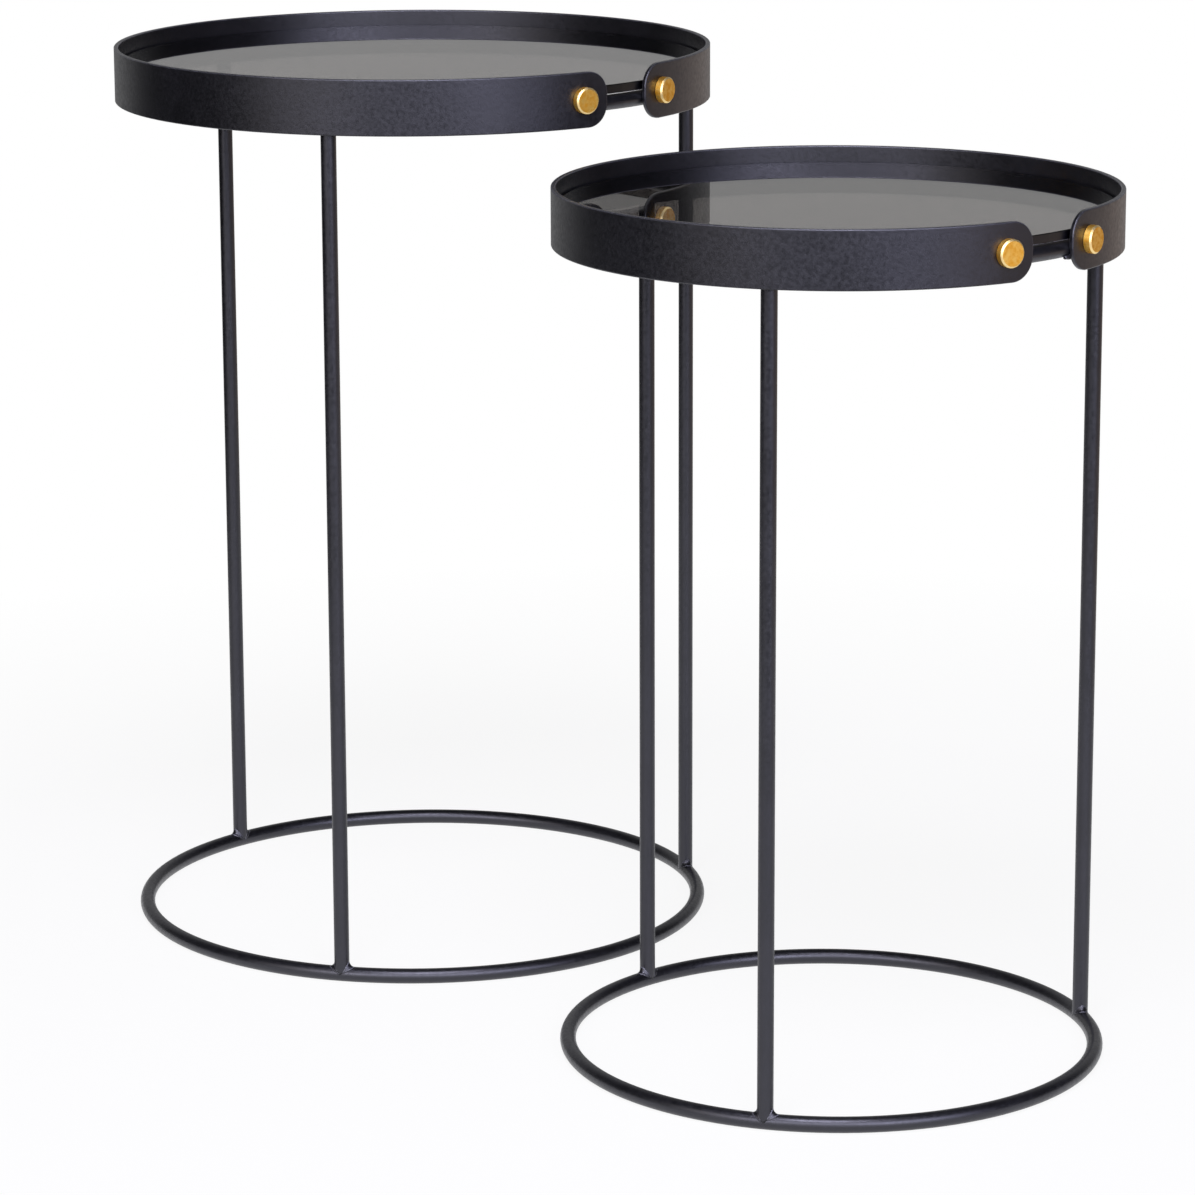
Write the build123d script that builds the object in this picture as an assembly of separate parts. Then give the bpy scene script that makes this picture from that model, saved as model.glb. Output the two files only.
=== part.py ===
from build123d import *
import os
from math import degrees

# Nesting tables: a taller and a shorter round side table of welded round bar.
# Each has two equal rings joined by three upright legs. A flat steel belt wraps
# the upper ring, stands above the glass as a tray rim and ends in two rounded
# tabs, each with a brass stud. The glass lies on clear pads on the upper ring.
# All sizes are in millimetres. The belt's opening faces +X, turned a little on
# each table, and the shorter table stands on the +X side of the taller one.

# Sizes that differ between the two tables: tray diameter over the belt, height
# to the belt's top edge, and the turn of the belt's opening away from +X.
sizes = {
    "large": {"tray": 400.0, "height": 600.0, "turn": 5.5},
    "small": {"tray": 350.0, "height": 550.0, "turn": 3.3},
}
centre_spacing = 418.0      # from one table's centre to the other's, as displayed

# Round bar frame
bar_diameter = 10.0         # rings and legs are the same bar
leg_half_opening = 60.0     # angle from the belt's opening to each front leg

# Belt
belt_height = 36.0
belt_thickness = 3.0
belt_opening = 35.0         # between the two tab ends
tab_corner = 15.0           # radius of the tabs' corners
belt_arris = 0.4            # every long edge of the flat bar is eased

# Brass studs and the countersunk screws that hold them from inside the belt
stud_spacing = 73.0         # along the belt's outside, over the opening
stud_diameter = 17.0
stud_thickness = 5.0
stud_chamfer = 1.0
screw_diameter = 4.0
screw_grip = 3.0            # thread length inside the stud
screw_head_diameter = 7.6
screw_head_depth = 1.9
screw_socket_diameter = 2.6
screw_socket_depth = 1.2
hole_clearance = 0.4        # on the diameter, belt hole over screw
thread_clearance = 0.05     # on the radius, tapped hole over screw
head_clearance = 0.1        # between the countersink and the screw's head

# Glass and its pads
glass_recess = 10.5         # from the belt's top edge down to the glass
glass_thickness = 6.0
glass_arris = 0.5           # ground chamfer round both edges
glass_side_gap = 1.5        # between the glass's edge and the belt
pad_count = 6
pad_diameter = 8.0
pad_thickness = 0.8

bar_radius = bar_diameter / 2
belt_middle = belt_height / 2


def ring_radius(table):
    """The bar's centre line, so that the bar touches the belt's inner face."""
    return table["tray"] / 2 - belt_thickness - bar_radius


def glass_underside(table):
    return table["height"] - glass_recess - glass_thickness


def upper_ring_level(table):
    return glass_underside(table) - pad_thickness - bar_radius


def bar_ring(table, level):
    return Pos(0, 0, level) * Torus(ring_radius(table), bar_radius)


def leg(table, angle):
    """An upright bar with both ends coped to sit on the round of the rings."""
    foot, head = bar_radius, upper_ring_level(table)
    stem = Cylinder(bar_radius, head - foot, align=(Align.CENTER, Align.CENTER, Align.MIN))
    stem = Pos(-ring_radius(table), 0, foot) * stem
    stem = stem - bar_ring(table, foot) - bar_ring(table, head)
    return Rot(0, 0, angle - 180) * stem


def opening_profile():
    """The belt's opening seen along X: a slot that flares round the tab corners."""
    slot = Rectangle(belt_opening + 2 * tab_corner, belt_height)
    tab = RectangleRounded(4 * tab_corner, belt_height, tab_corner)
    reach = belt_opening / 2 + 2 * tab_corner
    return slot - Pos(reach, 0) * tab - Pos(-reach, 0) * tab


def on_belt(table, side):
    """A frame on the belt's outer face at one stud, with +Z pointing outwards."""
    radius = table["tray"] / 2
    angle = side * degrees(stud_spacing / 2 / radius)
    level = table["height"] - belt_middle
    return Rot(0, 0, angle) * Location(Plane((radius, 0, level), x_dir=(0, 1, 0), z_dir=(1, 0, 0)))


def screw_hole():
    """Clearance hole through the belt, countersunk from the inside."""
    hole_radius = (screw_diameter + hole_clearance) / 2
    sink_radius = screw_head_diameter / 2 + head_clearance
    sink_depth = screw_head_depth + head_clearance
    through = Pos(0, 0, -belt_thickness / 2) * Cylinder(hole_radius, 2 * belt_thickness)
    sink = Cone(sink_radius, hole_radius, sink_depth, align=(Align.CENTER, Align.CENTER, Align.MIN))
    # The belt's inside is hollow round the mouth, so the cut starts before it.
    mouth = Cylinder(sink_radius, belt_thickness, align=(Align.CENTER, Align.CENTER, Align.MAX))
    return through + Pos(0, 0, -belt_thickness) * (sink + mouth)


def belt(table):
    radius = table["tray"] / 2
    inner = radius - belt_thickness
    band = Cylinder(radius, belt_height) - Cylinder(inner, belt_height)
    band -= extrude(Plane.YZ * opening_profile(), radius + belt_thickness)
    outline = [edge for edge in band.edges() if edge.length > belt_thickness + belt_arris]
    band = chamfer(outline, belt_arris)
    band = Pos(0, 0, table["height"] - belt_middle) * band
    for side in (-1, 1):
        band -= on_belt(table, side) * screw_hole()
    return band


def stud(table, side):
    """A turned disc with a chamfered rim and a blind tapped hole in its back."""
    disc = Cylinder(stud_diameter / 2, stud_thickness, align=(Align.CENTER, Align.CENTER, Align.MIN))
    disc = chamfer(disc.edges().sort_by(Axis.Z)[-1], stud_chamfer)
    hole_radius = screw_diameter / 2 + thread_clearance
    hole_depth = screw_grip + thread_clearance
    disc -= Cylinder(hole_radius, hole_depth, align=(Align.CENTER, Align.CENTER, Align.MIN))
    return on_belt(table, side) * disc


def screw(table, side):
    """A countersunk screw, flush with the belt's inside, threaded into the stud."""
    top = -belt_thickness + head_clearance
    low = (Align.CENTER, Align.CENTER, Align.MIN)
    head = Cone(screw_head_diameter / 2, screw_diameter / 2, screw_head_depth, align=low)
    shank = Cylinder(screw_diameter / 2, screw_grip - top, align=low)
    socket = Cylinder(screw_socket_diameter / 2, screw_socket_depth, align=low)
    return on_belt(table, side) * Pos(0, 0, top) * (head + shank - socket)


def pads(table):
    """Clear pads on top of the upper ring, as one group of separate discs."""
    level = glass_underside(table) - pad_thickness
    disc = Cylinder(pad_diameter / 2, pad_thickness, align=(Align.CENTER, Align.CENTER, Align.MIN))
    step = 360 / pad_count
    disc = Pos(ring_radius(table), 0, level) * disc
    return Compound(children=[Rot(0, 0, (i + 0.5) * step) * disc for i in range(pad_count)])


def glass(table):
    radius = table["tray"] / 2 - belt_thickness - glass_side_gap
    disc = Cylinder(radius, glass_thickness, align=(Align.CENTER, Align.CENTER, Align.MIN))
    disc = chamfer(disc.edges(), glass_arris)
    return Pos(0, 0, glass_underside(table)) * disc


def build_table(name, table):
    """Every piece of one table, by node name, standing at the frame's origin."""
    pieces = {
        "base_ring": bar_ring(table, bar_radius),
        "upper_ring": bar_ring(table, upper_ring_level(table)),
        "leg_left": leg(table, -leg_half_opening),
        "leg_right": leg(table, leg_half_opening),
        "leg_back": leg(table, 180),
        "belt": belt(table),
        "stud_left": stud(table, -1),
        "stud_right": stud(table, 1),
        "screw_left": screw(table, -1),
        "screw_right": screw(table, 1),
        "glass_pads": pads(table),
        "glass_top": glass(table),
    }
    turn = Rot(0, 0, table["turn"])
    return {f"{name}_{piece}": turn * shape for piece, shape in pieces.items()}


nodes = build_table("large", sizes["large"])
for node, shape in build_table("small", sizes["small"]).items():
    nodes[node] = Pos(centre_spacing, 0, 0) * shape

# The origin is on the floor, under the middle of the pair's box.
low = [min(getattr(s.bounding_box().min, axis) for s in nodes.values()) for axis in "XYZ"]
high = [max(getattr(s.bounding_box().max, axis) for s in nodes.values()) for axis in "XYZ"]
to_origin = Pos(-(low[0] + high[0]) / 2, -(low[1] + high[1]) / 2, -low[2])

os.makedirs("parts", exist_ok=True)
for node, shape in nodes.items():
    export_step(to_origin * shape, f"parts/{node}.step")

for name, x in (("large", 0), ("small", centre_spacing)):
    centre = to_origin * Pos(x, 0, sizes[name]["height"] - glass_recess)
    print(name, "glass face centre", [round(v, 3) for v in centre.position])
    print(name, "ring radius", ring_radius(sizes[name]), "upper ring level", upper_ring_level(sizes[name]))
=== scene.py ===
from math import atan2, cos, pi, radians, sin, sqrt
import bmesh
import bpy
from mathutils import Matrix, Vector


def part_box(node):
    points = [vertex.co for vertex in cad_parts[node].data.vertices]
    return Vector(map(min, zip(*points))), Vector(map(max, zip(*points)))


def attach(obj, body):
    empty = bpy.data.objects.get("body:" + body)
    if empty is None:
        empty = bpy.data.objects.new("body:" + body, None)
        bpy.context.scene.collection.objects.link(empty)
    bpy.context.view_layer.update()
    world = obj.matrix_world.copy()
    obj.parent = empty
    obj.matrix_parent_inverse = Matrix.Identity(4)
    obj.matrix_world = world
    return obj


# Two nesting tables: black powder-coated steel bar, brass studs, smoked glass.
# Lengths are in metres and colours are sRGB.
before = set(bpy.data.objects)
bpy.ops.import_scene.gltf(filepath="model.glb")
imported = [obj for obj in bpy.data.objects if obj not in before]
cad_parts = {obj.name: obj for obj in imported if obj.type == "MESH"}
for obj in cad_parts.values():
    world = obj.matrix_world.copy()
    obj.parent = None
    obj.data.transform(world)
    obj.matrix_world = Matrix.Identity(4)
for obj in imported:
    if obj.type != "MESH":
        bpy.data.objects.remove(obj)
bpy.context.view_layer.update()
scene = bpy.context.scene
imageSize = 1195


def linear(colour):
    values = [int(colour[i:i + 2], 16) / 255 for i in (1, 3, 5)]
    return [v / 12.92 if v <= 0.04045 else ((v + 0.055) / 1.055) ** 2.4 for v in values] + [1.0]


# Adds a node. Settings are properties or unlinked sockets, links are sockets by name or number.
# Mix has its factor at 0. A value goes in at 2 and 3 and out at 0, a colour in at 6 and 7 and out at 2.
def addNode(tree, kind, settings=None, links=None):
    node = tree.nodes.new(kind)
    for name, value in (settings or {}).items():
        if isinstance(name, str) and hasattr(node, name):
            setattr(node, name, value)
        else:
            node.inputs[name].default_value = value
    for name, source in (links or {}).items():
        tree.links.new(source, node.inputs[name])
    return node


def startMaterial(name):
    material = bpy.data.materials.new(name)
    material.use_nodes = True
    tree = material.node_tree
    tree.nodes.clear()
    place = addNode(tree, "ShaderNodeTexCoord").outputs["Object"]
    return material, tree, place


def finishMaterial(tree, shader):
    addNode(tree, "ShaderNodeOutputMaterial", links={"Surface": shader.outputs[0]})


# Noise may run from 0 to 1 but mostly stays within these, so a pattern is stretched from them.
noiseReach = {"From Min": 0.3, "From Max": 0.7}
noiseCore = {"From Min": 0.35, "From Max": 0.65}


# Powder coat: polyester powder baked on steel, a satin skin with a faint orange peel. The film
# draws back from sharp edges, and those edges are painted paler as a painted highlight, only where they face
# up, not on the underside.
powderCoat = {
    "colour": "#08080a", "thinColour": "#101013", "edgeColour": "#5a5a62", "sheen": "#f0f0ff",
    "ior": 1.65, "roughness": 0.36, "roughnessSpread": 0.06,
    "peelSize": 0.0024,   # real peel is 1 to 3 mm from crest to crest
    "peelDepth": 0.00005,
    "patchSize": 0.03,    # slow changes of film thickness
    "edgeWidth": 0.0011,
    "edgeTurn": (0.985, 0.9),     # cosine of the surface's turn at an edge, from full film to thin
    "topFade": (-0.15, 0.15),     # how far up an edge has to face before it gets the painted highlight
}


def powderCoatMaterial():
    material, tree, place = startMaterial("satin black powder coat")
    patches = addNode(tree, "ShaderNodeTexNoise",
                      {"Scale": 1 / powderCoat["patchSize"], "Detail": 3.0}, {"Vector": place})
    peel = addNode(tree, "ShaderNodeTexNoise",
                   {"Scale": 1 / powderCoat["peelSize"], "Detail": 2.0}, {"Vector": place})
    patch = addNode(tree, "ShaderNodeMapRange", noiseCore, {"Value": patches.outputs["Fac"]})
    film = addNode(tree, "ShaderNodeMix",
                   {"data_type": "RGBA", 6: linear(powderCoat["colour"]), 7: linear(powderCoat["thinColour"])},
                   {0: patch.outputs["Result"]})
    edges = addNode(tree, "ShaderNodeBevel", {"samples": 8, "Radius": powderCoat["edgeWidth"]})
    flat = addNode(tree, "ShaderNodeNewGeometry")
    turn = addNode(tree, "ShaderNodeVectorMath", {"operation": "DOT_PRODUCT"},
                   {0: edges.outputs["Normal"], 1: flat.outputs["True Normal"]})
    full, bare = powderCoat["edgeTurn"]
    thin = addNode(tree, "ShaderNodeMapRange", {"From Min": full, "From Max": bare},
                   {"Value": turn.outputs["Value"]})
    rounded = addNode(tree, "ShaderNodeSeparateXYZ", links={0: edges.outputs["Normal"]})
    low, high = powderCoat["topFade"]
    upper = addNode(tree, "ShaderNodeMapRange", {"From Min": low, "From Max": high},
                    {"Value": rounded.outputs["Z"]})
    # Painted highlight: edges that face up get edgeColour. The film's thinning at edges is real; the paler
    # colour on the upper ones stands in for light from above.
    paintedEdgeHighlight = addNode(tree, "ShaderNodeMath", {"operation": "MULTIPLY"},
                   {0: thin.outputs["Result"], 1: upper.outputs["Result"]})
    colour = addNode(tree, "ShaderNodeMix", {"data_type": "RGBA", 7: linear(powderCoat["edgeColour"])},
                     {0: paintedEdgeHighlight.outputs[0], 6: film.outputs[2]})
    smoothest = powderCoat["roughness"] - powderCoat["roughnessSpread"]
    roughest = powderCoat["roughness"] + powderCoat["roughnessSpread"]
    rough = addNode(tree, "ShaderNodeMapRange", {**noiseReach, "To Min": smoothest, "To Max": roughest},
                    {"Value": peel.outputs["Fac"]})
    bump = addNode(tree, "ShaderNodeBump", {"Distance": powderCoat["peelDepth"]},
                   {"Height": peel.outputs["Fac"], "Normal": edges.outputs["Normal"]})
    finishMaterial(tree, addNode(tree, "ShaderNodeBsdfPrincipled",
                                 {"IOR": powderCoat["ior"], "Specular Tint": linear(powderCoat["sheen"])},
                                 {"Base Color": colour.outputs[2], "Roughness": rough.outputs["Result"],
                                  "Normal": bump.outputs["Normal"]}))
    return material


# Brass: turned from bar, buffed and lacquered. The face is a little cloudy, and the chamfer
# round it is painted paler than the rest as a painted highlight.
studBrass = {
    "colour": "#fccf6a", "cloudColour": "#e6a838", "rimHighlightColour": "#fbe0a0",
    "roughness": 0.44, "roughnessSpread": 0.12, "rimRoughness": 0.48,
    "cloudSize": 0.003, "grainSize": 0.0009, "grainDepth": 0.00003, "edgeWidth": 0.0003,
    "facing": (cos(radians(4)), sin(radians(4)), 0),   # all studs face within 13 degrees of this
    "rimSlope": (0.68, 0.25),     # cosine from there to the chamfer's face, and how far off it may be
}


def brassMaterial():
    material, tree, place = startMaterial("lacquered turned brass")
    clouds = addNode(tree, "ShaderNodeTexNoise",
                     {"Scale": 1 / studBrass["cloudSize"], "Detail": 4.0}, {"Vector": place})
    grain = addNode(tree, "ShaderNodeTexNoise",
                    {"Scale": 1 / studBrass["grainSize"], "Detail": 2.0}, {"Vector": place})
    cloud = addNode(tree, "ShaderNodeMapRange", noiseCore, {"Value": clouds.outputs["Fac"]})
    face = addNode(tree, "ShaderNodeMix",
                   {"data_type": "RGBA", 6: linear(studBrass["colour"]), 7: linear(studBrass["cloudColour"])},
                   {0: cloud.outputs["Result"]})
    flat = addNode(tree, "ShaderNodeNewGeometry")
    slope = addNode(tree, "ShaderNodeVectorMath", {"operation": "DOT_PRODUCT", 1: studBrass["facing"]},
                    {0: flat.outputs["True Normal"]})
    middle, spread = studBrass["rimSlope"]
    rim = addNode(tree, "ShaderNodeMath", {"operation": "COMPARE", 1: middle, 2: spread},
                  {0: slope.outputs["Value"]})
    # Painted highlight: the chamfer round each face is painted a pale gold.
    colour = addNode(tree, "ShaderNodeMix", {"data_type": "RGBA", 7: linear(studBrass["rimHighlightColour"])},
                     {0: rim.outputs[0], 6: face.outputs[2]})
    low, high = studBrass["roughness"], studBrass["roughness"] + studBrass["roughnessSpread"]
    faceRough = addNode(tree, "ShaderNodeMapRange", {**noiseReach, "To Min": low, "To Max": high},
                        {"Value": clouds.outputs["Fac"]})
    rough = addNode(tree, "ShaderNodeMix", {3: studBrass["rimRoughness"]},
                    {0: rim.outputs[0], 2: faceRough.outputs["Result"]})
    edges = addNode(tree, "ShaderNodeBevel", {"samples": 4, "Radius": studBrass["edgeWidth"]})
    bump = addNode(tree, "ShaderNodeBump", {"Distance": studBrass["grainDepth"]},
                   {"Height": grain.outputs["Fac"], "Normal": edges.outputs["Normal"]})
    finishMaterial(tree, addNode(tree, "ShaderNodeBsdfPrincipled", {"Metallic": 1.0},
                                 {"Base Color": colour.outputs[2], "Roughness": rough.outputs[0],
                                  "Normal": bump.outputs["Normal"]}))
    return material


# Zinc plate on the countersunk screws: pale grey with a dull, slightly spangled skin.
screwZinc = {
    "colour": "#b4b6bb", "dullColour": "#85888e",
    "roughness": 0.3, "roughnessSpread": 0.15,
    "spangleSize": 0.0012, "spangleDepth": 0.00003,
}


def zincMaterial():
    material, tree, place = startMaterial("zinc-plated steel")
    spangle = addNode(tree, "ShaderNodeTexVoronoi", {"Scale": 1 / screwZinc["spangleSize"]}, {"Vector": place})
    colour = addNode(tree, "ShaderNodeMix",
                     {"data_type": "RGBA", 6: linear(screwZinc["colour"]), 7: linear(screwZinc["dullColour"])},
                     {0: spangle.outputs["Distance"]})
    low, high = screwZinc["roughness"], screwZinc["roughness"] + screwZinc["roughnessSpread"]
    rough = addNode(tree, "ShaderNodeMapRange", {"To Min": low, "To Max": high},
                    {"Value": spangle.outputs["Distance"]})
    bump = addNode(tree, "ShaderNodeBump", {"Distance": screwZinc["spangleDepth"]},
                   {"Height": spangle.outputs["Distance"]})
    finishMaterial(tree, addNode(tree, "ShaderNodeBsdfPrincipled", {"Metallic": 1.0},
                                 {"Base Color": colour.outputs[2], "Roughness": rough.outputs["Result"],
                                  "Normal": bump.outputs["Normal"]}))
    return material


# Polyurethane bumper pads: clear and soft, a little milky inside.
padClear = {
    "colour": "#dfe3e4", "milkColour": "#c3c9cc", "ior": 1.49, "clearness": 0.7,
    "roughness": 0.25, "roughnessSpread": 0.15,
    "milkSize": 0.003, "unevenness": 0.00005,
}


def padMaterial():
    material, tree, place = startMaterial("clear polyurethane")
    milk = addNode(tree, "ShaderNodeTexNoise",
                   {"Scale": 1 / padClear["milkSize"], "Detail": 2.0}, {"Vector": place})
    colour = addNode(tree, "ShaderNodeMix",
                     {"data_type": "RGBA", 6: linear(padClear["colour"]), 7: linear(padClear["milkColour"])},
                     {0: milk.outputs["Fac"]})
    low, high = padClear["roughness"], padClear["roughness"] + padClear["roughnessSpread"]
    rough = addNode(tree, "ShaderNodeMapRange", {"To Min": low, "To Max": high}, {"Value": milk.outputs["Fac"]})
    bump = addNode(tree, "ShaderNodeBump", {"Distance": padClear["unevenness"]},
                   {"Height": milk.outputs["Fac"]})
    finishMaterial(tree, addNode(tree, "ShaderNodeBsdfPrincipled",
                                 {"IOR": padClear["ior"], "Transmission Weight": padClear["clearness"]},
                                 {"Base Color": colour.outputs[2], "Roughness": rough.outputs["Result"],
                                  "Normal": bump.outputs["Normal"]}))
    return material


# Smoked float glass: tinted in the mass, with polished faces and an edge ground satin and dark.
# Under the edge is a lower arris stoned by hand, which stays a ragged grey line.
smokedGlass = {
    "tint": "#5c5856", "tintSpread": "#565250", "ior": 1.52,
    "roughness": 0.008,
    "rollSize": 0.09, "rollDepth": 0.00001,   # slow waves that rolling leaves in the faces
    "edgeColour": "#1a1a26", "edgeRoughness": 0.3,
    "arrisColour": "#a2a2ac", "arrisRoughness": 0.5,
    "chipSize": 0.0018, "chipDepth": 0.00008,
    "chipFade": (0.36, 0.5),      # how ragged the arris is
    "arrisSlope": (-0.7, 0.2),    # how far up the arris faces, and how far off it may be
    "faceSlope": 0.9,             # only the two faces lie this level
}


def glassMaterial():
    material, tree, place = startMaterial("smoked float glass")
    wave = addNode(tree, "ShaderNodeTexNoise",
                   {"Scale": 1 / smokedGlass["rollSize"], "Detail": 1.0}, {"Vector": place})
    tint = addNode(tree, "ShaderNodeMix",
                   {"data_type": "RGBA", 6: linear(smokedGlass["tint"]), 7: linear(smokedGlass["tintSpread"])},
                   {0: wave.outputs["Fac"]})
    rough = addNode(tree, "ShaderNodeMapRange", {"To Min": 0.0, "To Max": 2 * smokedGlass["roughness"]},
                    {"Value": wave.outputs["Fac"]})
    roll = addNode(tree, "ShaderNodeBump", {"Distance": smokedGlass["rollDepth"]},
                   {"Height": wave.outputs["Fac"]})
    polished = addNode(tree, "ShaderNodeBsdfPrincipled",
                       {"IOR": smokedGlass["ior"], "Transmission Weight": 1.0},
                       {"Base Color": tint.outputs[2], "Roughness": rough.outputs["Result"],
                        "Normal": roll.outputs["Normal"]})
    chips = addNode(tree, "ShaderNodeTexNoise",
                    {"Scale": 1 / smokedGlass["chipSize"], "Detail": 3.0}, {"Vector": place})
    grit = addNode(tree, "ShaderNodeBump", {"Distance": smokedGlass["chipDepth"]},
                   {"Height": chips.outputs["Fac"]})
    shape = addNode(tree, "ShaderNodeNewGeometry")
    normal = addNode(tree, "ShaderNodeSeparateXYZ", links={0: shape.outputs["True Normal"]})
    middle, spread = smokedGlass["arrisSlope"]
    arris = addNode(tree, "ShaderNodeMath", {"operation": "COMPARE", 1: middle, 2: spread},
                    {0: normal.outputs["Z"]})
    low, high = smokedGlass["chipFade"]
    chipped = addNode(tree, "ShaderNodeMapRange", {"From Min": low, "From Max": high},
                      {"Value": chips.outputs["Fac"]})
    arrisShare = addNode(tree, "ShaderNodeMath", {"operation": "MULTIPLY"},
                         {0: arris.outputs[0], 1: chipped.outputs["Result"]})
    edgeLook, arrisLook = linear(smokedGlass["edgeColour"]), linear(smokedGlass["arrisColour"])
    ground = addNode(tree, "ShaderNodeMix", {"data_type": "RGBA", 6: edgeLook, 7: arrisLook},
                     {0: arrisShare.outputs[0]})
    groundRough = addNode(tree, "ShaderNodeMix",
                          {2: smokedGlass["edgeRoughness"], 3: smokedGlass["arrisRoughness"]},
                          {0: arrisShare.outputs[0]})
    edge = addNode(tree, "ShaderNodeBsdfPrincipled", {"IOR": smokedGlass["ior"]},
                   {"Base Color": ground.outputs[2], "Roughness": groundRough.outputs[0],
                    "Normal": grit.outputs["Normal"]})
    level = addNode(tree, "ShaderNodeMath", {"operation": "ABSOLUTE"}, {0: normal.outputs["Z"]})
    face = addNode(tree, "ShaderNodeMath", {"operation": "GREATER_THAN", 1: smokedGlass["faceSlope"]},
                   {0: level.outputs[0]})
    finishMaterial(tree, addNode(tree, "ShaderNodeMixShader",
                                 links={0: face.outputs[0], 1: edge.outputs[0], 2: polished.outputs[0]}))
    return material


coat = powderCoatMaterial()
finishes = {
    "stud": brassMaterial(), "screw": zincMaterial(),
    "glass_pads": padMaterial(), "glass_top": glassMaterial(),
}
for name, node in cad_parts.items():
    finish = next((finishes[word] for word in finishes if word in name), coat)
    node.data.materials.clear()
    node.data.materials.append(finish)
print("finishes on", len(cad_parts), "nodes")


# Every weld is a little rippled and lies under the coat.
weldSurface = {"ripple": 0.0004, "rippleSize": 0.0024}


# Both trees of nodes start alike, with the weld's shape and the sizes that it needs.
def startWelds(name, sizes):
    tree = bpy.data.node_groups.new(name, "GeometryNodeTree")
    tree.interface.new_socket("Shape", in_out="INPUT", socket_type="NodeSocketGeometry")
    for label in sizes + ("Ripple", "Ripple Size"):
        tree.interface.new_socket(label, in_out="INPUT", socket_type="NodeSocketFloat")
    tree.interface.new_socket("Coat", in_out="INPUT", socket_type="NodeSocketMaterial")
    tree.interface.new_socket("Welds", in_out="OUTPUT", socket_type="NodeSocketGeometry")
    return tree, addNode(tree, "NodeGroupInput")


# They also end alike: one solid mesh, a little ripple, smooth shading and the coat.
def finishWelds(tree, start, raw):
    size = addNode(tree, "ShaderNodeMath", {"operation": "DIVIDE", 0: 1.0}, {1: start.outputs["Ripple Size"]})
    ripple = addNode(tree, "ShaderNodeTexNoise", {"Detail": 2.0}, {"Scale": size.outputs[0]})
    centred = addNode(tree, "ShaderNodeMath", {"operation": "SUBTRACT", 1: 0.5}, {0: ripple.outputs["Fac"]})
    height = addNode(tree, "ShaderNodeMath", {"operation": "MULTIPLY"},
                     {0: centred.outputs[0], 1: start.outputs["Ripple"]})
    normal = addNode(tree, "GeometryNodeInputNormal")
    push = addNode(tree, "ShaderNodeVectorMath", {"operation": "SCALE"},
                   {0: normal.outputs["Normal"], "Scale": height.outputs[0]})
    solid = addNode(tree, "GeometryNodeRealizeInstances", links={"Geometry": raw})
    lumpy = addNode(tree, "GeometryNodeSetPosition",
                    links={"Geometry": solid.outputs["Geometry"], "Offset": push.outputs["Vector"]})
    smooth = addNode(tree, "GeometryNodeSetShadeSmooth", links={"Geometry": lumpy.outputs["Geometry"]})
    coated = addNode(tree, "GeometryNodeSetMaterial",
                     links={"Geometry": smooth.outputs["Geometry"], "Material": start.outputs["Coat"]})
    addNode(tree, "NodeGroupOutput", links={"Welds": coated.outputs["Geometry"]})


# Leg welds: a smooth fillet where each leg meets a ring. It reaches along the ring on both
# sides of the leg, and hardly shows where the two bars' outsides run into each other.
legWeld = {
    "barRadius": 0.005, "legs": 3,
    "reach": 0.0040, "rise": 1.1,   # along the ring, and how much taller it is on the leg
    "narrowing": 1.1,               # power by which the reach falls off between the sides
    "thinnest": 0.0001,
    "sections": 60,
    "hollow": (0, 0.2, 0.4, 0.6, 0.8, 1),   # points of each section's curve, from leg to ring
    "bury": 0.0001,                 # how far the fillet's ends lie inside the bars
    "root": 0.001, "rootDrop": 0.0008,
}


# One fillet, at the foot of a leg that stands on +X of the table's axis, with the ring at level 0.
# Each section runs from the leg's face to the ring's in a hollow curve, and back inside the bars.
def filletMesh(name, ring):
    mesh, shape = bpy.data.meshes.new(name), bmesh.new()
    bar, steps, rows = legWeld["barRadius"], legWeld["sections"], []
    for step in range(steps):
        angle = 2 * pi * (step + 0.5) / steps
        outwards = Vector((cos(angle), sin(angle), 0))
        corner = Vector((ring, 0, 0)) + bar * outwards
        away = corner.length - ring
        corner.z = sqrt(max(bar ** 2 - away ** 2, 0))
        size = legWeld["thinnest"] + legWeld["reach"] * abs(sin(angle)) ** legWeld["narrowing"]
        onLeg = corner - legWeld["bury"] * outwards + Vector((0, 0, size * legWeld["rise"]))
        turn = Matrix.Rotation(size / ring * (1 if sin(angle) > 0 else -1), 3, "Z")
        onRing = turn @ (corner - Vector((0, 0, legWeld["bury"])))
        row = [(1 - t) ** 2 * onLeg + 2 * t * (1 - t) * corner + t ** 2 * onRing for t in legWeld["hollow"]]
        row.append(corner - legWeld["root"] * outwards - Vector((0, 0, legWeld["rootDrop"])))
        rows.append([shape.verts.new(point) for point in row])
    for step in range(steps):
        here, there = rows[step], rows[(step + 1) % steps]
        for i in range(len(here)):
            k = (i + 1) % len(here)
            shape.faces.new((here[i], here[k], there[k], there[i]))
    bmesh.ops.recalc_face_normals(shape, faces=shape.faces)
    shape.to_mesh(mesh)
    shape.free()
    return mesh


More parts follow.
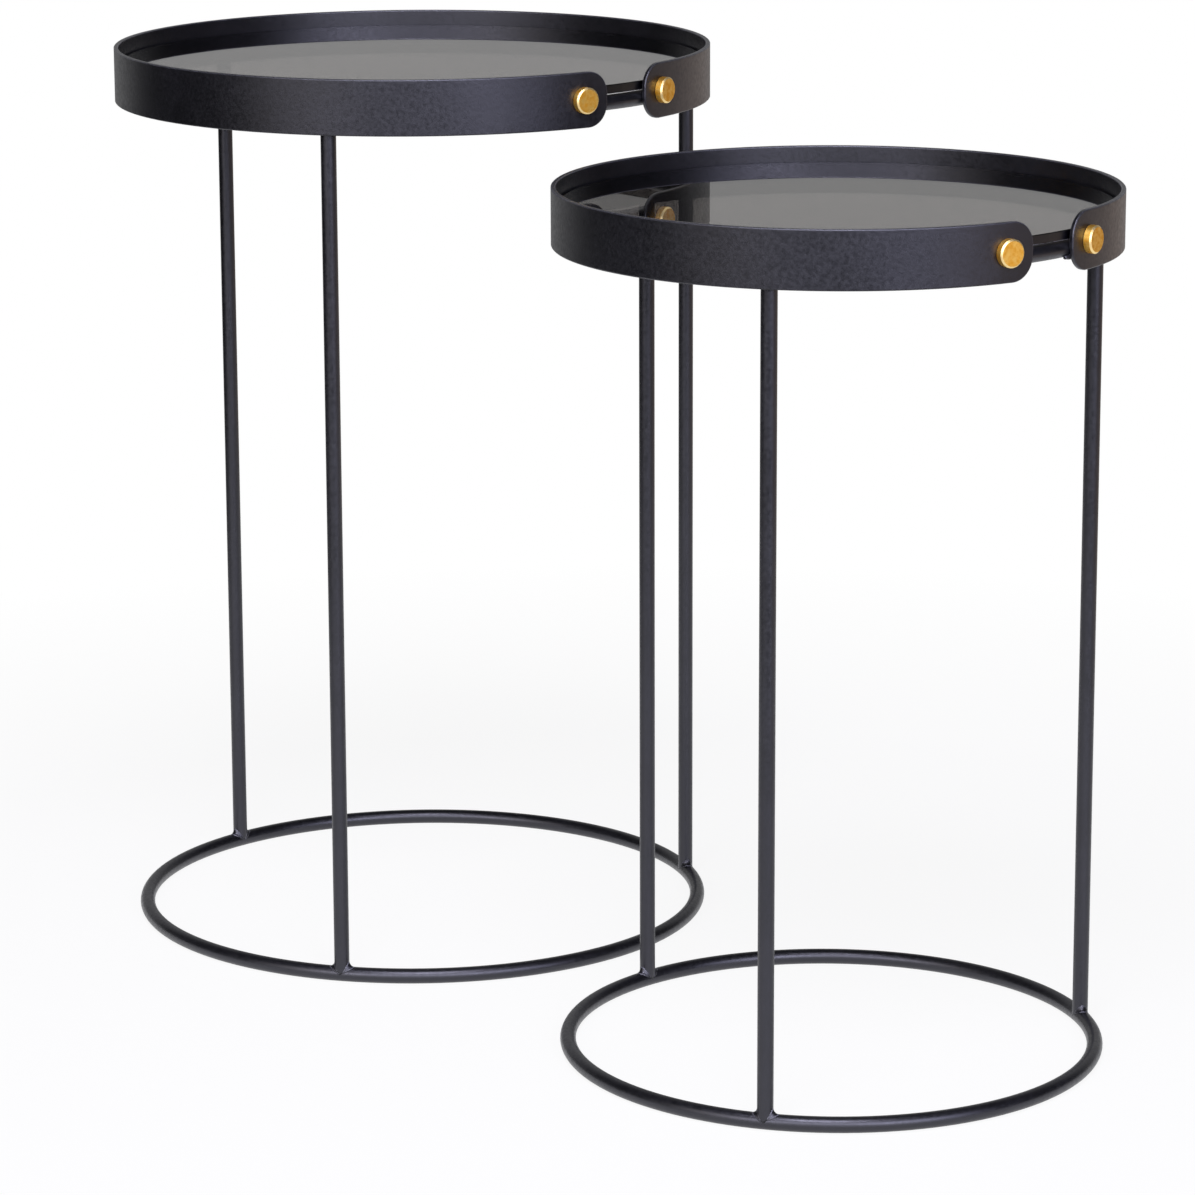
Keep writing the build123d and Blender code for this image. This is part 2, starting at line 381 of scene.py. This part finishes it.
# Sets the fillet at both ends of every leg. Odd copies are turned over for the upper ring.
def filletTree():
    tree, start = startWelds("leg welds", ("Centre X", "Centre Y", "Foot", "Head", "First Leg"))
    index = addNode(tree, "GeometryNodeInputIndex").outputs[0]
    end = addNode(tree, "ShaderNodeMath", {"operation": "MODULO", 1: 2.0}, {0: index})
    half = addNode(tree, "ShaderNodeMath", {"operation": "MULTIPLY", 1: 0.5}, {0: index})
    leg = addNode(tree, "ShaderNodeMath", {"operation": "FLOOR"}, {0: half.outputs[0]})
    turn = addNode(tree, "ShaderNodeMath", {"operation": "MULTIPLY_ADD", 1: 2 * pi / legWeld["legs"]},
                   {0: leg.outputs[0], 2: start.outputs["First Leg"]})
    over = addNode(tree, "ShaderNodeMath", {"operation": "MULTIPLY", 1: pi}, {0: end.outputs[0]})
    rise = addNode(tree, "ShaderNodeMath", {"operation": "SUBTRACT"},
                   {0: start.outputs["Head"], 1: start.outputs["Foot"]})
    level = addNode(tree, "ShaderNodeMath", {"operation": "MULTIPLY_ADD"},
                    {0: rise.outputs[0], 1: end.outputs[0], 2: start.outputs["Foot"]})
    place = addNode(tree, "ShaderNodeCombineXYZ",
                    links={0: start.outputs["Centre X"], 1: start.outputs["Centre Y"], 2: level.outputs[0]})
    joints = addNode(tree, "GeometryNodePoints", {"Count": 2 * legWeld["legs"]}, {"Position": place.outputs[0]})
    spin = addNode(tree, "ShaderNodeCombineXYZ", links={0: over.outputs[0], 2: turn.outputs[0]})
    copies = addNode(tree, "GeometryNodeInstanceOnPoints",
                     links={"Points": joints.outputs[0], "Instance": start.outputs["Shape"],
                            "Rotation": spin.outputs[0]})
    finishWelds(tree, start, copies.outputs["Instances"])
    return tree


# Belt tacks: short beads in the corner under the upper ring that hold the belt to it.
beltTack = {
    "radius": 0.0020, "length": 0.018, "count": 6,
    "first": 0.75,                  # place of the first, in steps from one tack to the next
    "out": 0.0036, "down": 0.0046,  # from the bar's centre line
    "endShare": 0.55,               # how thick the ends are
    "segments": 12, "sides": 12, "step": 0.0005,
    "tab": {"table": "small", "along": 0.024},   # one more past the right tab, from the opening's middle
}


def tackCurve(table, measures):
    curve = bpy.data.curves.new(table + " tacks", "CURVE")
    curve.dimensions = "3D"
    centreX, centreY = measures["centre"]
    radius, level = measures["ring"] + beltTack["out"], measures["head"] - beltTack["down"]
    spread = beltTack["length"] / radius / 2
    count, segments = beltTack["count"], beltTack["segments"]
    middles = [2 * pi * (i + beltTack["first"]) / count for i in range(count)]
    if table == beltTack["tab"]["table"]:
        middles.append(measures["firstLeg"] + pi + beltTack["tab"]["along"] / radius)
    for middle in middles:
        spline = curve.splines.new("POLY")
        spline.points.add(segments)
        for step, point in enumerate(spline.points):
            turn = middle + spread * (2 * step / segments - 1)
            point.co = (centreX + radius * cos(turn), centreY + radius * sin(turn), level, 1.0)
            swell = beltTack["endShare"] + (1 - beltTack["endShare"]) * sin(pi * step / segments)
            point.radius = beltTack["radius"] * swell
    return curve


# Runs a round bead along each tack's path, thinner towards its ends.
def tackTree():
    tree, start = startWelds("belt tacks", ())
    path = addNode(tree, "GeometryNodeResampleCurve", {"mode": "LENGTH", "Length": beltTack["step"]},
                   {"Curve": start.outputs["Shape"]})
    section = addNode(tree, "GeometryNodeCurvePrimitiveCircle",
                      {"Resolution": beltTack["sides"], "Radius": 1.0})
    radius = addNode(tree, "GeometryNodeInputRadius")
    bead = addNode(tree, "GeometryNodeCurveToMesh", {"Fill Caps": True},
                   {"Curve": path.outputs["Curve"], "Profile Curve": section.outputs["Curve"],
                    "Scale": radius.outputs["Radius"]})
    finishWelds(tree, start, bead.outputs["Mesh"])
    return tree


def tableMeasures(table):
    low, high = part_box(table + "_base_ring")
    upperLow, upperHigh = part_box(table + "_upper_ring")
    legLow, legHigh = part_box(table + "_leg_back")
    centre = ((low[0] + high[0]) / 2, (low[1] + high[1]) / 2)
    return {
        "centre": centre,
        "ring": (high[0] - low[0]) / 2 - legWeld["barRadius"],
        "foot": (low[2] + high[2]) / 2,
        "head": (upperLow[2] + upperHigh[2]) / 2,
        "firstLeg": atan2((legLow[1] + legHigh[1]) / 2 - centre[1], (legLow[0] + legHigh[0]) / 2 - centre[0]),
    }


# Runs a tree on a shape and keeps the result as a plain mesh.
def bakeWelds(shape, tree, values):
    source = bpy.data.objects.new(shape.name, shape)
    scene.collection.objects.link(source)
    modifier = source.modifiers.new("welds", "NODES")
    modifier.node_group = tree
    values = {"Ripple": weldSurface["ripple"], "Ripple Size": weldSurface["rippleSize"], "Coat": coat, **values}
    for item in tree.interface.items_tree:
        if item.in_out == "INPUT" and item.name in values:
            modifier[item.identifier] = values[item.name]
    bpy.context.view_layer.update()
    graph = bpy.context.evaluated_depsgraph_get()
    mesh = bpy.data.meshes.new_from_object(source.evaluated_get(graph), depsgraph=graph)
    bpy.data.objects.remove(source)
    return mesh


def addWelds(table, part, shape, tree, values):
    piece = bpy.data.objects.new(f"{table}_{part}", bakeWelds(shape, tree, values))
    scene.collection.objects.link(piece)
    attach(piece, table + "_frame")
    print(piece.name, len(piece.data.polygons), "faces")


fillets, tacks = filletTree(), tackTree()
for table in ("large", "small"):
    measures = tableMeasures(table)
    addWelds(table, "leg_welds", filletMesh(table + " fillet", measures["ring"]), fillets, {
        "Centre X": measures["centre"][0], "Centre Y": measures["centre"][1],
        "Foot": measures["foot"], "Head": measures["head"], "First Leg": measures["firstLeg"]})
    addWelds(table, "belt_tacks", tackCurve(table, measures), tacks, {})


# The view looks down on both trays from the front right. Angles are in degrees.
view = {
    "place": (2.32993, -1.98087, 0.97806), "yaw": 139.73, "pitch": 13.35, "roll": 0.205,
    "focalPixels": 4777.2, "clip": (0.05, 100),
}


def setView():
    yaw, pitch, roll = (radians(view[key]) for key in ("yaw", "pitch", "roll"))
    forward = Vector((cos(yaw) * cos(pitch), sin(yaw) * cos(pitch), -sin(pitch)))
    right = Vector((sin(yaw), -cos(yaw), 0))
    down = forward.cross(right)
    across = cos(roll) * right + sin(roll) * down
    lower = cos(roll) * down - sin(roll) * right
    data = bpy.data.cameras.new("camera")
    data.lens = view["focalPixels"] / imageSize * data.sensor_width
    data.clip_start, data.clip_end = view["clip"]
    camera = bpy.data.objects.new("camera", data)
    turn = Matrix((across, -lower, -forward)).transposed().to_4x4()
    camera.matrix_world = Matrix.Translation(view["place"]) @ turn
    scene.collection.objects.link(camera)
    scene.camera = camera
    print("camera")


setView()

# A round sheet of matt white paper under the tables. The eye sees it near white, with only a
# trace of shadow, and its rim fades into the white behind.
paperFloor = {
    "colour": "#ececec", "grainColour": "#e8e8e8", "grainSize": 0.025,
    "radius": 1.25, "sides": 96,
    "whiteShare": 0.9, "fade": (0.6, 1.2),   # share of plain white, and where that grows to all
}


def setFloor():
    bpy.ops.mesh.primitive_circle_add(vertices=paperFloor["sides"], radius=paperFloor["radius"],
                                      fill_type="NGON", location=(0, 0, 0))
    floor = bpy.context.object
    floor.name = "floor"
    material, tree, place = startMaterial("matt white paper")
    grain = addNode(tree, "ShaderNodeTexNoise", {"Scale": 1 / paperFloor["grainSize"]}, {"Vector": place})
    plain, flecked = linear(paperFloor["colour"]), linear(paperFloor["grainColour"])
    colour = addNode(tree, "ShaderNodeMix", {"data_type": "RGBA", 6: plain, 7: flecked},
                     {0: grain.outputs["Fac"]})
    paper = addNode(tree, "ShaderNodeBsdfDiffuse", links={"Color": colour.outputs[2]})
    white = addNode(tree, "ShaderNodeEmission", {"Strength": 1.0})
    reach = addNode(tree, "ShaderNodeVectorMath", {"operation": "LENGTH"}, {0: place})
    near, far = paperFloor["fade"]
    fade = addNode(tree, "ShaderNodeMapRange",
                   {"From Min": near, "From Max": far, "To Min": paperFloor["whiteShare"], "To Max": 1.0},
                   {"Value": reach.outputs["Value"]})
    rays = addNode(tree, "ShaderNodeLightPath")
    clear = addNode(tree, "ShaderNodeMath", {"operation": "MAXIMUM"},
                    {0: rays.outputs["Is Camera Ray"], 1: rays.outputs["Is Transmission Ray"]})
    seen = addNode(tree, "ShaderNodeMath", {"operation": "MAXIMUM"},
                   {0: clear.outputs[0], 1: rays.outputs["Is Glossy Ray"]})
    share = addNode(tree, "ShaderNodeMath", {"operation": "MULTIPLY"},
                    {0: seen.outputs[0], 1: fade.outputs["Result"]})
    finishMaterial(tree, addNode(tree, "ShaderNodeMixShader",
                                 links={0: share.outputs[0], 1: paper.outputs[0], 2: white.outputs[0]}))
    floor.data.materials.append(material)
    print("floor")


setFloor()

# Studio air: white to the eye and through the glass, with an even fill on what is matt. Polished
# things mirror dark walls, a pale backdrop behind the tables, the bright upper room before them
# and the floor's warm sweep low on the right. Each fades in over an edge, given as the cosine of
# the angle from its azimuth, and over a height, given as the ray's rise.
studio = {
    "fill": 0.08, "wall": 0.02, "sweepColour": "#ffeadc",
    "backdrop": {"azimuth": 140, "strength": 0.4, "edge": (0.5, 0.8), "height": (-2.0, -1.5)},
    "room": {"azimuth": -40, "strength": 1.2, "edge": (0.55, 0.9), "height": (-0.1, 0.06)},
    "sweep": {"azimuth": 60, "strength": 0.65, "edge": (0.2, 0.75), "height": (-0.02, -0.12)},
}


def setStudio():
    world = bpy.data.worlds.new("studio")
    scene.world = world
    world.use_nodes = True
    tree = world.node_tree
    tree.nodes.clear()
    ray = addNode(tree, "ShaderNodeTexCoord").outputs["Generated"]
    rise = addNode(tree, "ShaderNodeSeparateXYZ", links={0: ray})
    mirror = addNode(tree, "ShaderNodeValue")
    mirror.outputs[0].default_value = studio["wall"]
    for name in ("backdrop", "room", "sweep"):
        side = studio[name]
        azimuth = radians(side["azimuth"])
        facing = addNode(tree, "ShaderNodeVectorMath",
                         {"operation": "DOT_PRODUCT", 1: (cos(azimuth), sin(azimuth), 0)}, {0: ray})
        fades = []
        for measure, key in ((facing.outputs["Value"], "edge"), (rise.outputs["Z"], "height")):
            low, high = side[key]
            fades.append(addNode(tree, "ShaderNodeMapRange",
                                 {"interpolation_type": "SMOOTHSTEP", "From Min": low, "From Max": high},
                                 {"Value": measure}))
        share = addNode(tree, "ShaderNodeMath", {"operation": "MULTIPLY"},
                        {0: fades[0].outputs["Result"], 1: fades[1].outputs["Result"]})
        mirror = addNode(tree, "ShaderNodeMix", {3: side["strength"]},
                         {0: share.outputs[0], 2: mirror.outputs[0]})
    rays = addNode(tree, "ShaderNodeLightPath")
    glossy = rays.outputs["Is Glossy Ray"]
    seen = addNode(tree, "ShaderNodeMath", {"operation": "MAXIMUM"},
                   {0: rays.outputs["Is Camera Ray"], 1: rays.outputs["Is Transmission Ray"]})
    mirrored = addNode(tree, "ShaderNodeMix", {2: studio["fill"]}, {0: glossy, 3: mirror.outputs[0]})
    strength = addNode(tree, "ShaderNodeMix", {3: 1.0}, {0: seen.outputs[0], 2: mirrored.outputs[0]})
    # The last share of the loop is the sweep's, which alone is warm.
    warm = addNode(tree, "ShaderNodeMath", {"operation": "MULTIPLY"}, {0: share.outputs[0], 1: glossy})
    colour = addNode(tree, "ShaderNodeMix",
                     {"data_type": "RGBA", 6: linear("#ffffff"), 7: linear(studio["sweepColour"])},
                     {0: warm.outputs[0]})
    air = addNode(tree, "ShaderNodeBackground",
                  links={"Color": colour.outputs[2], "Strength": strength.outputs[0]})
    addNode(tree, "ShaderNodeOutputWorld", links={"Surface": air.outputs[0]})
    print("studio air")


setStudio()

# Softboxes: a tall one each side of the camera, a low wide strip behind it and the key high
# above. All aim at the middle of the tables. The glass is linked out of them, because they
# would glare in it from behind.
softboxes = {
    "left": {"azimuth": -84, "distance": 3.0, "height": 1.3, "size": (2.1, 2.0),
             "watts": 22, "colour": "#fff9f2"},
    "right": {"azimuth": -5, "distance": 3.0, "height": 1.3, "size": (2.1, 2.0),
              "watts": 38, "colour": "#e6e6ff"},
    "front": {"azimuth": -43, "distance": 3.4, "height": 1.65, "size": (5.2, 1.6),
              "watts": 97, "colour": "#ecebff"},
    "key": {"azimuth": -43, "distance": 1.5, "height": 2.6, "size": (1.0, 1.0),
            "watts": 56, "colour": "#f1efff"},
}
softboxAim = Vector((0, 0, 0.4))


def addSoftbox(name, box):
    data = bpy.data.lights.new(name + " softbox", "AREA")
    data.shape = "RECTANGLE"
    data.size, data.size_y = box["size"]
    data.energy = box["watts"]
    data.color = linear(box["colour"])[:3]
    light = bpy.data.objects.new(name + " softbox", data)
    azimuth = radians(box["azimuth"])
    light.location = (box["distance"] * cos(azimuth), box["distance"] * sin(azimuth), box["height"])
    light.rotation_euler = (softboxAim - light.location).to_track_quat("-Z", "Y").to_euler()
    light.visible_camera = False
    scene.collection.objects.link(light)
    return light


glassTops = bpy.data.collections.new("glass tops")
for table in ("large", "small"):
    glassTops.objects.link(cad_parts[table + "_glass_top"])
for name, box in softboxes.items():
    addSoftbox(name, box).light_linking.receiver_collection = glassTops
for member in glassTops.collection_objects:
    member.light_linking.link_state = "EXCLUDE"
scene.view_settings.view_transform = "Standard"
print(len(softboxes), "softboxes")
